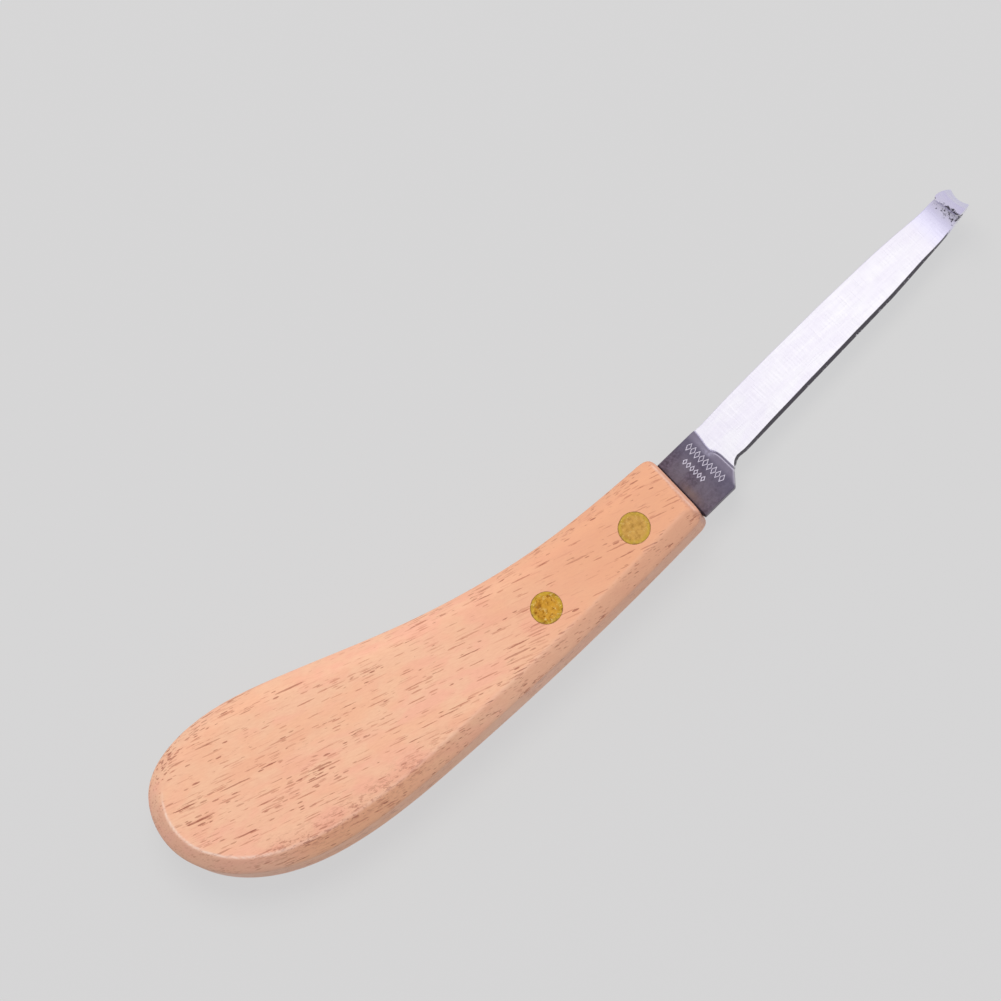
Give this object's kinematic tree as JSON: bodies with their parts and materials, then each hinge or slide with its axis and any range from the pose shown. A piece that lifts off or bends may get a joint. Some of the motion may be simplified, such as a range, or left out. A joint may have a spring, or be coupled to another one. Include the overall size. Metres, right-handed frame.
{
  "type": "hoof knife",
  "caption": "Farrier's hoof knife: narrow polished blade with a hooked tip, dark ricasso, swept wooden handle with flush brass rivets.",
  "frame": {"origin": "on the surface that the knife lies on, under the middle of its bounding box", "axes": "+X along the blade from handle to hooked tip; +Z out of the handle's front face, the side that the hook curls to; +Y towards the spine side, so the cutting edge looks to -Y"},
  "size_m": [0.2036, 0.0464, 0.0175],
  "materials": {
    "steel": "polished blade with fine lengthwise grinding marks, dark unpolished ricasso",
    "wood": "sanded, open-pored light hardwood with short dark pores, thin clear oil",
    "brass": "sanded flush, mottled"
  },
  "bodies": {
    "root": {"blade": "steel", "handle": "wood", "front_rivet_tube": "brass", "front_rivet_pin": "brass", "rear_rivet_tube": "brass", "rear_rivet_pin": "brass"}
  },
  "joints": []
}
